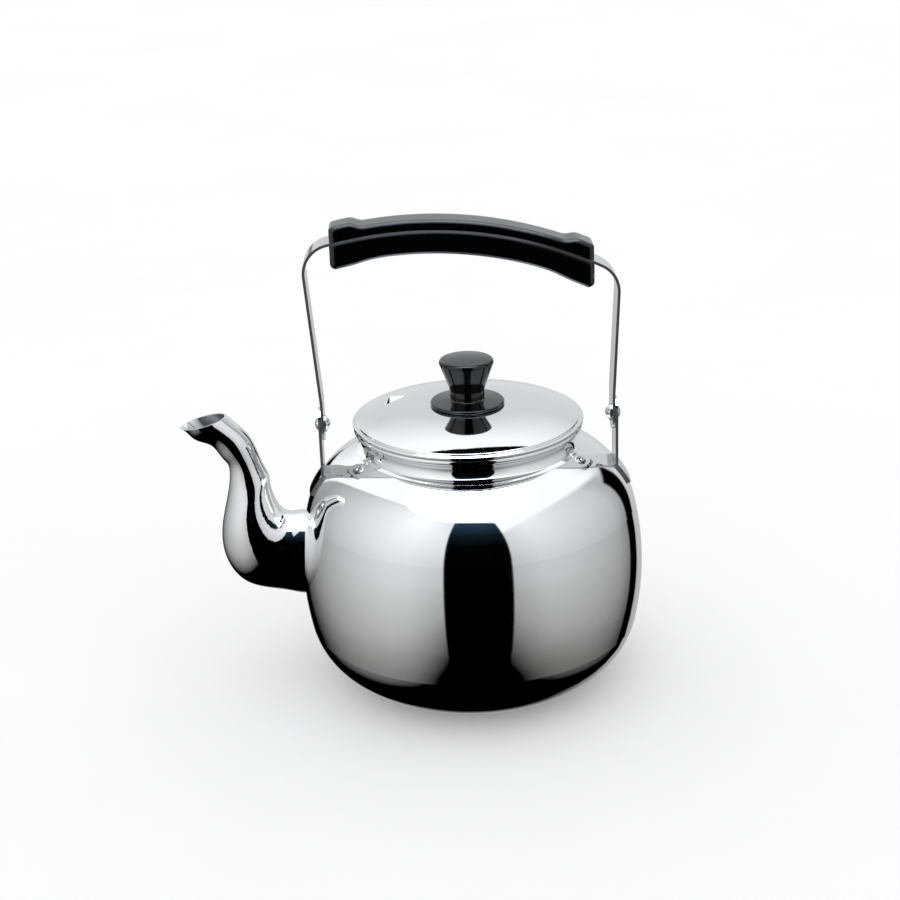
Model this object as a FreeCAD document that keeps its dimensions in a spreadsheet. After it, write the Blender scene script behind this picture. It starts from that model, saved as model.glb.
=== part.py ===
import FreeCAD, Part
import math
import os
import Sketcher
from FreeCAD import Placement, Rotation, Vector

# Stove-top kettle: barrel body, coved neck, lift-off lid, swan-neck spout and a swinging bail handle.
# Origin at the middle of the flat base, +Z up, spout towards -X, lengths in millimetres, angles in degrees.

DOCUMENT = FreeCAD.newDocument("kettle")

# Driving sizes: alias, value, what it is
SIZE_ROWS = [
    ("body_diameter", 190, "widest diameter of the barrel body"),
    ("body_height", 136.9, "base to the edge of the opening in the shoulder"),
    ("belly_height", 65, "height of the widest ring"),
    ("belly_arc", 156, "radius of the side's upright curve"),
    ("base_corner", 42, "radius between base and side"),
    ("shoulder_corner", 44.8, "radius between side and shoulder"),
    ("shoulder_slope", 30.5, "slope of the shoulder between that corner and the neck"),
    ("shell_wall", 0.8, "sheet thickness of the pot, neck, spout and lid"),
    ("mouth_radius", 56.5, "radius of the opening in the shoulder"),
    ("collar_foot_radius", 61.4, "outer radius of the neck's foot"),
    ("collar_foot_rise", 0.45, "top of the neck's foot above the shoulder"),
    ("collar_waist_radius", 57.3, "smallest outer radius of the coved neck"),
    ("collar_cove", 5.4, "radius of the neck's hollow curve"),
    ("collar_cove_height", 8.9, "height of the hollow curve"),
    ("collar_rim_height", 3.6, "height of the rolled rim"),
    ("collar_rim_reach", 2.9, "how far the rim stands out past the hollow curve"),
    ("lid_seat_gap", 0.3, "play between the rim and the lid resting on it"),
    ("lid_land_radius", 21.5, "flat middle of the lid under the knob"),
    ("lid_dome", 120, "radius of the lid's curve"),
    ("lid_hem", 0.75, "half the thickness of the lid's folded hem"),
    ("lid_ledge", 2.4, "width of the hem outside the dome"),
    ("lid_step", 1.0, "height of the dome's foot above the hem"),
    ("lid_step_round", 0.5, "rounding of that step"),
    ("lid_overhang", 0.4, "how far the hem stands out past the neck's rim"),
    ("skirt_clearance", 0.6, "play between the lid's skirt and the neck's waist"),
    ("skirt_depth", 12, "skirt below the top of the neck"),
    ("skirt_flange", 4.4, "width of the flange that holds the skirt to the lid"),
    ("vent_radius", 44, "steam vent from the lid's middle"),
    ("vent_bearing", 151, "direction of the steam vent from +X"),
    ("vent_base", 9.8, "base of the lanced triangle"),
    ("vent_length", 13.8, "base to tip of the lanced triangle"),
    ("vent_tilt", 28, "angle the tab is pressed down by"),
    ("vent_slit", 0.25, "sheared gap along the tab's two sides"),
    ("knob_flange_radius", 20.2, "widest radius of the knob's foot"),
    ("knob_flange_thickness", 2.1, "thickness of the knob's foot"),
    ("knob_foot_rise", 1.0, "slope of the foot's top up to the stem"),
    ("knob_waist_radius", 9.5, "radius of the knob's stem"),
    ("knob_waist_height", 8.6, "top of the straight stem above the lid"),
    ("knob_waist_round", 6.0, "rounding between the stem and its flare"),
    ("knob_foot_round", 0.8, "rounding between the foot and the stem"),
    ("knob_top_radius", 15.5, "radius of the knob's top edge"),
    ("knob_edge_height", 25.3, "top edge above the lid"),
    ("knob_crown", 1.2, "rise of the crowned top above its edge"),
    ("knob_edge_round", 1.9, "rounding of the knob's top edge"),
    ("knob_insert_radius", 4.2, "outside of the threaded insert in the knob"),
    ("knob_insert_length", 14, "length of that insert"),
    ("knob_screw_radius", 2.0, "shank of the knob's screw"),
    ("knob_screw_engagement", 11, "length of the screw inside the insert"),
    ("knob_screw_head_radius", 4.2, "head of that screw"),
    ("knob_screw_head_height", 2.6, "height of that head"),
    ("knob_washer_radius", 6.5, "washer under the head"),
    ("knob_washer_thickness", 1.0, "thickness of that washer"),
    ("screw_slot_width", 1.0, "slot in the screw heads"),
    ("screw_slot_depth", 1.1, "depth of that slot"),
    ("screw_head_round", 0.9, "rounding of the screw heads"),
    ("pivot_height", 149, "height of the handle's pivots"),
    ("ear_inner", 79.8, "middle plane to the inner face of an ear"),
    ("ear_thickness", 1.5, "thickness of an ear"),
    ("ear_width", 18, "width of an ear"),
    ("ear_foot_length", 12.5, "length of the foot along the shoulder"),
    ("rivet_radius", 2.0, "shank of a pivot rivet"),
    ("rivet_head_radius", 3.9, "head of a pivot rivet"),
    ("rivet_head_height", 2.2, "height of that head"),
    ("pivot_play", 0.1, "side play between ear, leg and washer"),
    ("pivot_clearance", 0.08, "radial play of the leg on the rivet"),
    ("pivot_washer_radius", 4.6, "washer under the inner rivet head"),
    ("pivot_washer_thickness", 0.8, "thickness of that washer"),
    ("strap_thickness", 1.5, "thickness of the handle strap"),
    ("strap_width", 18, "width of the handle strap"),
    ("leg_straight", 13, "upright part of a leg above the pivot"),
    ("front_leg_lean", 4.2, "outward lean of the leg on the spout side"),
    ("rear_leg_lean", 2.7, "outward lean of the other leg"),
    ("strap_corner", 16, "bend between a leg and the arch"),
    ("arch_radius", 212, "radius of the arched strap inside the grip"),
    ("arch_offset", -22.1, "arch centre along X"),
    ("arch_height", 44.1, "arch centre above the base"),
    ("grip_front_reach", 69.9, "kettle's axis to the grip's end on the spout side"),
    ("grip_rear_reach", 68.7, "kettle's axis to the grip's other end"),
    ("grip_upper_width", 18.4, "width of the upper half"),
    ("grip_lower_width", 22, "width of the lower half"),
    ("grip_rise", 5.5, "strap line to the top, in the middle"),
    ("grip_end_rise", 8.3, "strap line to the top of the end pads"),
    ("grip_drop", 12.2, "strap line to the underside, in the middle"),
    ("grip_end_drop", 13.7, "strap line to the underside of the end blocks"),
    ("grip_pad_length", 11, "length of an end pad on top"),
    ("grip_pad_ramp", 9, "length of the slope beside a pad"),
    ("grip_block_length", 6, "length of an end block underneath"),
    ("grip_block_ramp", 24, "length of the slope beside a block"),
    ("grip_top_round", 2.2, "rounding along the top edges"),
    ("grip_under_round", 3.0, "rounding along the underside"),
    ("grip_corner_round", 3.0, "rounding of the upright corners at the ends"),
    ("grip_ridge_round", 1.8, "rounding of the ridge at the parting line"),
    ("grip_channel_play", 0.1, "play beside the strap in its channel"),
    ("grip_screw_inset", 9.5, "grip end to a screw, along the arch"),
    ("grip_screw_radius", 1.75, "shank of a grip screw"),
    ("grip_screw_clearance", 0.2, "play round the shank"),
    ("grip_screw_head_radius", 3.3, "head of a grip screw"),
    ("grip_screw_head_height", 2.2, "height of that head"),
    ("grip_screw_bridge", 6.0, "material between that head and the strap"),
    ("grip_head_clearance", 0.3, "play round the head"),
    ("grip_insert_radius", 3.0, "outside of a threaded insert in the grip"),
    ("grip_insert_length", 5.0, "length of that insert"),
    ("spout_height", 73.6, "height of the spout's root"),
    ("strainer_hole_radius", 2.6, "holes of the strainer behind the spout"),
    ("strainer_margin", 1.0, "strainer holes to the spout's wall"),
    ("mouth_cut_reach", 36.5, "upper edge of the pouring mouth from the body's side"),
    ("mouth_cut_rise", 82.0, "upper edge of the pouring mouth above the root"),
    ("mouth_cut_slope", 13, "slope of the pouring mouth, down to its lip"),
]

# Spout stations from the root to past the lip: name, reach from the body's side, rise above the root,
# heading above level, depth in the middle plane, width across it
SPOUT_ROWS = [
    ("root", -9.0, 0.0, 0, 45.6, 39),
    ("throat", 6.0, 0.4, 3, 46.0, 39),
    ("heel", 17.6, 3.8, 18, 47.6, 39),
    ("belly", 26.0, 11.6, 33, 47.6, 38),
    ("waist", 29.2, 22.4, 45, 41.4, 34),
    ("shin", 28.6, 33.8, 56, 32.0, 28),
    ("ankle", 27.0, 43.6, 72, 23.4, 22),
    ("neck", 27.6, 51.6, 82, 18.8, 18.8),
    ("crook", 30.4, 60.0, 66, 18.4, 18.4),
    ("bend", 35.6, 68.2, 50, 18.8, 18.6),
    ("throw", 43.4, 75.2, 38, 19.6, 19.2),
    ("pour", 51.0, 80.4, 33, 20.6, 19.8),
    ("lip", 58.6, 85.0, 31, 21.8, 20.4),
]
SPOUT_MEASURES = ("reach", "rise", "heading", "depth", "width")
SPOUT_DEGREE = 3

# Holes in the strainer's middle row, and in degrees the angle whose arc is as long as its radius
STRAINER_ROW = 5
RADIAN = 180 / math.pi

# How near a point has to lie to count as on a line, and the share of a half width that a full round takes
NEAR = 0.1
FULL_ROUND = 0.999


class Size:
    """A size: its number, and the expression that keeps it tied to the sheet."""

    def __init__(self, value, text):
        self.value = float(value)
        self.text = text

    @staticmethod
    def of(thing):
        return thing if isinstance(thing, Size) else Size(thing, "(%r)" % float(thing))

    def _join(self, other, sign, value):
        return Size(value, "(%s %s %s)" % (self.text, sign, Size.of(other).text))

    def __add__(self, other):
        return self._join(other, "+", self.value + Size.of(other).value)

    def __sub__(self, other):
        return self._join(other, "-", self.value - Size.of(other).value)

    def __mul__(self, other):
        return self._join(other, "*", self.value * Size.of(other).value)

    def __truediv__(self, other):
        return self._join(other, "/", self.value / Size.of(other).value)

    def __neg__(self):
        return Size(-self.value, "(-1 * %s)" % self.text)

    def __float__(self):
        return self.value


def root(size):
    return Size(math.sqrt(size.value), "sqrt(%s)" % size.text)


def sine(angle):
    return Size(math.sin(math.radians(angle.value)), "sin(%s * 1 deg)" % angle.text)


def cosine(angle):
    return Size(math.cos(math.radians(angle.value)), "cos(%s * 1 deg)" % angle.text)


def arc_sine(ratio):
    return Size(math.degrees(math.asin(ratio.value)), "(asin(%s) / 1 deg)" % ratio.text)


def leg_of(longest, other):
    """The other short side of a right triangle."""
    return root(longest * longest - other * other)


class SizeSheet:
    """The spreadsheet of driving sizes, read by name."""

    def __init__(self):
        self.sheet = DOCUMENT.addObject("Spreadsheet::Sheet", "Sizes")
        self.row = 0

    def add(self, alias, value, note):
        self.row += 1
        cell = "B%d" % self.row
        self.sheet.set("A%d" % self.row, alias)
        self.sheet.set(cell, str(value))
        self.sheet.set("C%d" % self.row, note)
        self.sheet.setAlias(cell, alias)

    def __getattr__(self, alias):
        return Size(self.sheet.get(alias), "Sizes." + alias)


S = SizeSheet()
for alias, value, note in SIZE_ROWS:
    S.add(alias, value, note)
for station, *measures in SPOUT_ROWS:
    for measure, value in zip(SPOUT_MEASURES, measures):
        S.add("spout_%s_%s" % (station, measure), value, "%s of the spout's %s" % (measure, station))
DOCUMENT.recompute()


# Shapes shared by the pieces


def bind(thing, path, size):
    """Tie one property of a document object to the sheet."""
    thing.setExpression(path, Size.of(size).text)


def new_body(label):
    body = DOCUMENT.addObject("PartDesign::Body", label)
    body.Label = label
    return body


def new_sketch(body, name, role, lift=None):
    """A sketch on one of the body's own origin planes, raised along the plane's normal by lift."""
    sketch = body.newObject("Sketcher::SketchObject", name)
    plane = [f for f in body.Origin.OriginFeatures if f.Role == role][0]
    sketch.AttachmentSupport = [(plane, "")]
    sketch.MapMode = "FlatFace"
    if lift is not None:
        sketch.AttachmentOffset = Placement(Vector(0, 0, lift.value), Rotation())
        bind(sketch, "AttachmentOffset.Base.z", lift)
    return sketch


def arc_between(start, end, radius, turn):
    """Arc of less than half a circle; turn is +1 to the left and -1 to the right of start to end."""
    chord = end - start
    middle = start + chord * 0.5
    left = Vector(-chord.y, chord.x, 0).normalize()
    height = math.sqrt(max(radius ** 2 - (chord.Length / 2) ** 2, 0))
    centre = middle + left * (turn * height)
    first, last = (start, end) if turn > 0 else (end, start)
    circle = Part.Circle(centre, Vector(0, 0, 1), radius)
    angles = [math.atan2(p.y - centre.y, p.x - centre.x) for p in (first, last)]
    return Part.ArcOfCircle(circle, angles[0], angles[1])


def dimension(sketch, name, constraint, size):
    index = sketch.addConstraint(constraint)
    sketch.renameConstraint(index, name)
    bind(sketch, "Constraints." + name, size)


def place_point(sketch, name, edge, end, across, up):
    """Hold a sketch point at two sizes, or on an axis where one is plain 0."""
    for kind, axis, size in (("DistanceX", -2, across), ("DistanceY", -1, up)):
        if isinstance(size, Size):
            constraint = Sketcher.Constraint(kind, -1, 1, edge, end, size.value)
            dimension(sketch, name + kind[-1].lower(), constraint, size)
        else:
            sketch.addConstraint(Sketcher.Constraint("PointOnObject", edge, end, axis))


def draw_outline(sketch, corners):
    """Closed outline. A corner is (across, up), or (across, up, radius, turn) where an arc follows it."""
    points = [Vector(float(c[0]), float(c[1]), 0) for c in corners]
    ends = []
    base = sketch.GeometryCount
    for index, corner in enumerate(corners):
        start, end = points[index], points[(index + 1) % len(points)]
        if len(corner) == 2:
            sketch.addGeometry(Part.LineSegment(start, end), False)
            ends.append((1, 2))
        else:
            sketch.addGeometry(arc_between(start, end, float(corner[2]), corner[3]), False)
            ends.append((1, 2) if corner[3] > 0 else (2, 1))
    for index in range(len(corners)):
        following = (index + 1) % len(corners)
        sketch.addConstraint(Sketcher.Constraint(
            "Coincident", base + index, ends[index][1], base + following, ends[following][0]))
    for index, corner in enumerate(corners):
        place_point(sketch, "corner%d" % (base + index), base + index, ends[index][0], corner[0], corner[1])
        if len(corner) > 2:
            radius = Size.of(corner[2])
            constraint = Sketcher.Constraint("Radius", base + index, radius.value)
            dimension(sketch, "arc%d" % (base + index), constraint, radius)


def draw_circle(sketch, across, up, radius):
    centre = Vector(float(across), float(up), 0)
    index = sketch.addGeometry(Part.Circle(centre, Vector(0, 0, 1), radius.value), False)
    place_point(sketch, "centre%d" % index, index, 3, across, up)
    dimension(sketch, "radius%d" % index, Sketcher.Constraint("Radius", index, radius.value), radius)


def revolve(body, corners, axis="V_Axis"):
    """Turn an outline in the XZ plane about the body's Z axis, or about X."""
    sketch = new_sketch(body, body.Label + "_outline", "XZ_Plane")
    draw_outline(sketch, corners)
    turned = body.newObject("PartDesign::Revolution", body.Label + "_turned")
    turned.Profile = sketch
    turned.ReferenceAxis = (sketch, [axis])
    turned.Angle = 360
    DOCUMENT.recompute()


def pad(body, name, sketch, length, middle=False):
    grown = body.newObject("PartDesign::Pad", name)
    grown.Profile = sketch
    grown.Midplane = middle
    bind(grown, "Length", length)
    DOCUMENT.recompute()


def pocket(body, name, sketch, length):
    """Cut against the sketch's normal; the solid has to get smaller."""
    before = body.Shape.Volume
    hollow = body.newObject("PartDesign::Pocket", name)
    hollow.Profile = sketch
    bind(hollow, "Length", length)
    DOCUMENT.recompute()
    if body.Shape.Volume >= before:
        raise ValueError(name + " cuts nothing")


def cylinder(name, radius, height, base, lean=None):
    """Cylinder up its own Z axis from base, leaned towards +X by an angle."""
    rod = DOCUMENT.addObject("Part::Cylinder", name)
    bind(rod, "Radius", radius)
    bind(rod, "Height", height)
    if lean is not None:
        rod.Placement = Placement(Vector(), Rotation(Vector(0, 1, 0), lean.value))
        bind(rod, "Placement.Rotation.Angle", lean)
    for axis, size in zip("xyz", base):
        bind(rod, "Placement.Base." + axis, size)
    return rod


def cut(label, base, tools):
    """Take one or more tools away from a piece."""
    tool = tools[0]
    if len(tools) > 1:
        tool = DOCUMENT.addObject("Part::MultiFuse", label + "_tools")
        tool.Shapes = tools
    result = DOCUMENT.addObject("Part::Cut", label)
    result.Base = base
    result.Tool = tool
    result.Label = label
    DOCUMENT.recompute()
    return result


def half_turn(body):
    """Turn a piece made for the rear to the front, about the kettle's axis."""
    body.Placement = Placement(body.Placement.Base, Rotation(Vector(0, 0, 1), 180))


# Body shell


BODY_RADIUS = S.body_diameter / 2
BELLY_CENTRE = BODY_RADIUS - S.belly_arc
BASE_CENTRE = BELLY_CENTRE + leg_of(S.belly_arc - S.base_corner, S.belly_height - S.base_corner)
SHOULDER_LEAN = (sine(S.shoulder_slope), cosine(S.shoulder_slope))
SHOULDER_ORBIT = S.belly_arc - S.shoulder_corner
SHOULDER_SHARE = ((S.mouth_radius - BELLY_CENTRE) * SHOULDER_LEAN[0]
                  + (S.body_height - S.belly_height) * SHOULDER_LEAN[1] - S.shoulder_corner) / SHOULDER_ORBIT
SHOULDER_ANGLE = arc_sine(SHOULDER_SHARE) - S.shoulder_slope
SHOULDER_CENTRE = BELLY_CENTRE + SHOULDER_ORBIT * cosine(SHOULDER_ANGLE)
SHOULDER_LEVEL = S.belly_height + SHOULDER_ORBIT * sine(SHOULDER_ANGLE)


def barrel_joint(centre, level, corner, inset):
    """Where a corner arc meets the belly arc, both moved in by inset."""
    reach = (S.belly_arc - inset) / (S.belly_arc - corner)
    across = BELLY_CENTRE + (centre - BELLY_CENTRE) * reach
    up = S.belly_height + (level - S.belly_height) * reach
    return across, up


def barrel_side(inset):
    """Corners from the base's edge up to the opening in the sloping shoulder, moved in by inset."""
    low = barrel_joint(BASE_CENTRE, S.base_corner, S.base_corner, inset)
    high = barrel_joint(SHOULDER_CENTRE, SHOULDER_LEVEL, S.shoulder_corner, inset)
    floor = inset if isinstance(inset, Size) else 0
    corner = S.shoulder_corner - inset
    return [
        (BASE_CENTRE, floor, S.base_corner - inset, 1),
        low + (S.belly_arc - inset, 1),
        high + (corner, 1),
        (SHOULDER_CENTRE + corner * SHOULDER_LEAN[0], SHOULDER_LEVEL + corner * SHOULDER_LEAN[1]),
        (S.mouth_radius, S.body_height - Size.of(inset) / SHOULDER_LEAN[1]),
    ]


def make_envelope():
    """Solid with the body's outer shape, which trims what is welded to it."""
    body = new_body("body_envelope")
    revolve(body, [(0, 0)] + barrel_side(0) + [(0, S.body_height)])
    return body


def downward(corners):
    """The same outline walked the other way."""
    turned = []
    for index in range(len(corners) - 1, -1, -1):
        arc = corners[index - 1][2:] if index else ()
        turned.append(corners[index][:2] + tuple(arc[:1]) + tuple(-turn for turn in arc[1:]))
    return turned


def make_body_shell():
    body = new_body("body_shell")
    inner = downward(barrel_side(S.shell_wall))
    revolve(body, [(0, 0)] + barrel_side(0) + inner + [(0, S.shell_wall)])

    # Strainer: a hexagon of holes on a triangular grid, inside the spout's root
    reach = S.spout_root_width / 2 - S.shell_wall - S.strainer_margin - S.strainer_hole_radius
    outer_row = STRAINER_ROW // 2
    pitch = reach / outer_row
    row_step = pitch * math.sqrt(3) / 2
    holes = new_sketch(body, "strainer_holes", "YZ_Plane")
    for row in range(-outer_row, outer_row + 1):
        count = STRAINER_ROW - abs(row)
        for place in range(count):
            steps = place - (count - 1) / 2
            across = pitch * steps if steps else 0
            draw_circle(holes, across, S.spout_height + row_step * row, S.strainer_hole_radius)
    pocket(body, "strainer_cut", holes, BODY_RADIUS * 2)
    return body


# Neck


def shoulder_height(radius):
    """Height of a ring on the sloping shoulder."""
    return S.body_height - (radius - S.mouth_radius) * SHOULDER_LEAN[0] / SHOULDER_LEAN[1]


COVE_CENTRE = S.collar_waist_radius + S.collar_cove
COVE_EDGE = COVE_CENTRE - leg_of(S.collar_cove, S.collar_cove_height / 2)
COVE_INNER_EDGE = COVE_CENTRE - leg_of(S.collar_cove + S.shell_wall, S.collar_cove_height / 2)
COLLAR_FOOT_TOP = shoulder_height(COVE_EDGE) + S.collar_foot_rise
COVE_TOP = COLLAR_FOOT_TOP + S.collar_cove_height
RIM_TOP = COVE_TOP + S.collar_rim_height
RIM_RADIUS = COVE_EDGE + S.collar_rim_reach


def make_neck_collar(envelope):
    """Coved ring with a foot on the shoulder and a rolled rim."""
    body = new_body("neck_ring")
    roll = S.collar_rim_height / 2
    revolve(body, [
        (COVE_INNER_EDGE, S.body_height - S.shoulder_corner),
        (S.collar_foot_radius, S.body_height - S.shoulder_corner),
        (S.collar_foot_radius, shoulder_height(S.collar_foot_radius) + S.collar_foot_rise / 2),
        (COVE_EDGE, COLLAR_FOOT_TOP, S.collar_cove, -1),
        (COVE_EDGE, COVE_TOP),
        (RIM_RADIUS - roll, COVE_TOP, roll, 1),
        (RIM_RADIUS, COVE_TOP + roll, roll, 1),
        (RIM_RADIUS - roll, RIM_TOP),
        (COVE_INNER_EDGE, RIM_TOP),
        (COVE_INNER_EDGE, COVE_TOP, S.collar_cove + S.shell_wall, 1),
        (COVE_INNER_EDGE, COLLAR_FOOT_TOP),
    ])
    return cut("neck_collar", body, [envelope])


# Spout


def spout_station(station):
    """Middle, heading and half sizes of one section of the spout."""
    reach, rise, heading, depth, width = [
        float(getattr(S, "spout_%s_%s" % (station, measure))) for measure in SPOUT_MEASURES]
    middle = Vector(-float(BODY_RADIUS) - reach, 0, float(S.spout_height) + rise)
    return middle, heading, depth / 2, width / 2


def spout_solid(inset):
    """Loft through oval sections, each drawn in by inset."""
    wires = []
    for station, *_ in SPOUT_ROWS:
        middle, heading, half_depth, half_width = spout_station(station)
        oval = FreeCAD.Matrix()
        oval.scale(half_depth - inset, half_width - inset, 1)
        ring = Part.Wire(Part.Circle(Vector(), Vector(0, 0, 1), 1).toShape())
        ring = ring.transformGeometry(oval)
        ring.Placement = Placement(middle, Rotation(Vector(0, 1, 0), heading - 90))
        wires.append(ring)
    return Part.makeLoft(wires, True, False, False, SPOUT_DEGREE)


def make_spout_halves(envelope):
    """Two pressed halves, split on the middle plane and trimmed by the body and the pouring mouth."""
    size = float(S.body_diameter)
    shell = spout_solid(0).cut(spout_solid(float(S.shell_wall)))
    above = Part.makeBox(2 * size, 2 * size, size, Vector(-size, -size, 0))
    edge = Vector(-float(BODY_RADIUS + S.mouth_cut_reach), 0, float(S.spout_height + S.mouth_cut_rise))
    above.Placement = Placement(edge, Rotation(Vector(0, 1, 0), -float(S.mouth_cut_slope)))
    near_side = Part.makeBox(2 * size, size, 2 * size, Vector(-2 * size, -size, 0))
    near = DOCUMENT.addObject("Part::Feature", "spout_near_half")
    near.Shape = shell.cut(above).cut(envelope.Shape).common(near_side)
    near.Placement = Placement()
    far = DOCUMENT.addObject("Part::Mirroring", "spout_far_half")
    far.Source = near
    far.Normal = Vector(0, 1, 0)
    DOCUMENT.recompute()
    return [near, far]


# Handle ears, rivets and washers


EAR_OUTER = S.ear_inner + S.ear_thickness
FOOT_SPAN = S.ear_foot_length / S.shoulder_corner * RADIAN


def make_ear(label, envelope):
    """Upright strip with a round top and a foot that follows the shoulder."""
    body = new_body(label + "_strip")
    half = S.ear_width / 2
    outer = S.shoulder_corner + S.ear_thickness
    bend = arc_sine((EAR_OUTER - SHOULDER_CENTRE) / outer)
    bend_top = SHOULDER_LEVEL + outer * cosine(bend)
    end = bend + FOOT_SPAN

    upright = new_sketch(body, label + "_upright", "YZ_Plane", S.ear_inner)
    draw_outline(upright, [
        (-half, bend_top - S.ear_thickness),
        (half, bend_top - S.ear_thickness),
        (half, S.pivot_height, half, 1),
        (0, S.pivot_height + half, half, 1),
        (-half, S.pivot_height),
    ])
    draw_circle(upright, 0, S.pivot_height, S.rivet_radius)
    pad(body, label + "_pad", upright, S.ear_thickness)

    # The foot is a sector turned about the kettle's axis, so it lies on the shoulder
    inner = S.shoulder_corner - S.ear_thickness
    foot = new_sketch(body, label + "_foot", "XZ_Plane")
    draw_outline(foot, [
        (S.ear_inner, bend_top - S.ear_thickness * 2),
        (SHOULDER_CENTRE + inner * sine(end), SHOULDER_LEVEL + inner * cosine(end)),
        (SHOULDER_CENTRE + outer * sine(end), SHOULDER_LEVEL + outer * cosine(end), outer, 1),
        (EAR_OUTER, bend_top),
        (S.ear_inner, bend_top),
    ])
    sector = body.newObject("PartDesign::Revolution", label + "_sector")
    sector.Profile = foot
    sector.ReferenceAxis = (foot, ["V_Axis"])
    sector.Midplane = True
    bind(sector, "Angle", arc_sine(half / EAR_OUTER) * 2)
    DOCUMENT.recompute()
    return cut(label, body, [envelope])


LEG_OUTER = S.ear_inner - S.pivot_play
LEG_INNER = LEG_OUTER - S.strap_thickness
WASHER_OUTER = LEG_INNER - S.pivot_play
WASHER_INNER = WASHER_OUTER - S.pivot_washer_thickness


def head_crown(radius, height):
    """Radius of a domed head's curve."""
    return (radius * radius + height * height) / (height * 2)


def make_rivet(label):
    """Domed head outside the ear, shank, and domed head inside the washer."""
    body = new_body(label)
    crown = head_crown(S.rivet_head_radius, S.rivet_head_height)
    revolve(body, [
        (WASHER_INNER - S.rivet_head_height, 0),
        (EAR_OUTER + S.rivet_head_height, 0, crown, 1),
        (EAR_OUTER, S.rivet_head_radius),
        (EAR_OUTER, S.rivet_radius),
        (WASHER_INNER, S.rivet_radius),
        (WASHER_INNER, S.rivet_head_radius, crown, 1),
    ], "H_Axis")
    bind(body, "Placement.Base.z", S.pivot_height)
    return body


def make_pivot_washer(label):
    body = new_body(label)
    revolve(body, [
        (WASHER_INNER, S.rivet_radius),
        (WASHER_OUTER, S.rivet_radius),
        (WASHER_OUTER, S.pivot_washer_radius),
        (WASHER_INNER, S.pivot_washer_radius),
    ], "H_Axis")
    bind(body, "Placement.Base.z", S.pivot_height)
    return body


# Bail strap


STRAP_LOW = S.pivot_height - S.strap_width / 2
LEG_MIDDLE = LEG_OUTER - S.strap_thickness / 2


def bail_path():
    """Points of the strap's middle line, front leg to rear leg, with the bends' and the arch's centres."""
    arch_centre = Vector(float(S.arch_offset), float(S.arch_height), 0)
    arch, corner = float(S.arch_radius), float(S.strap_corner)
    sides = []
    for side, lean in ((-1, S.front_leg_lean), (1, S.rear_leg_lean)):
        slant = math.radians(float(lean))
        foot = Vector(side * float(LEG_MIDDLE), float(STRAP_LOW), 0)
        bend = Vector(foot.x, float(S.pivot_height + S.leg_straight), 0)
        along = Vector(side * math.sin(slant), math.cos(slant), 0)
        inward = Vector(-side * math.cos(slant), math.sin(slant), 0)
        start = bend + inward * corner - arch_centre
        dot = start.dot(along)
        climb = -dot + math.sqrt(dot ** 2 - start.dot(start) + (arch - corner) ** 2)
        middle = bend + along * climb + inward * corner
        onto = arch_centre + (middle - arch_centre).normalize() * arch
        sides.append((foot, bend, bend + along * climb, middle, onto))
    return sides, arch_centre


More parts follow.
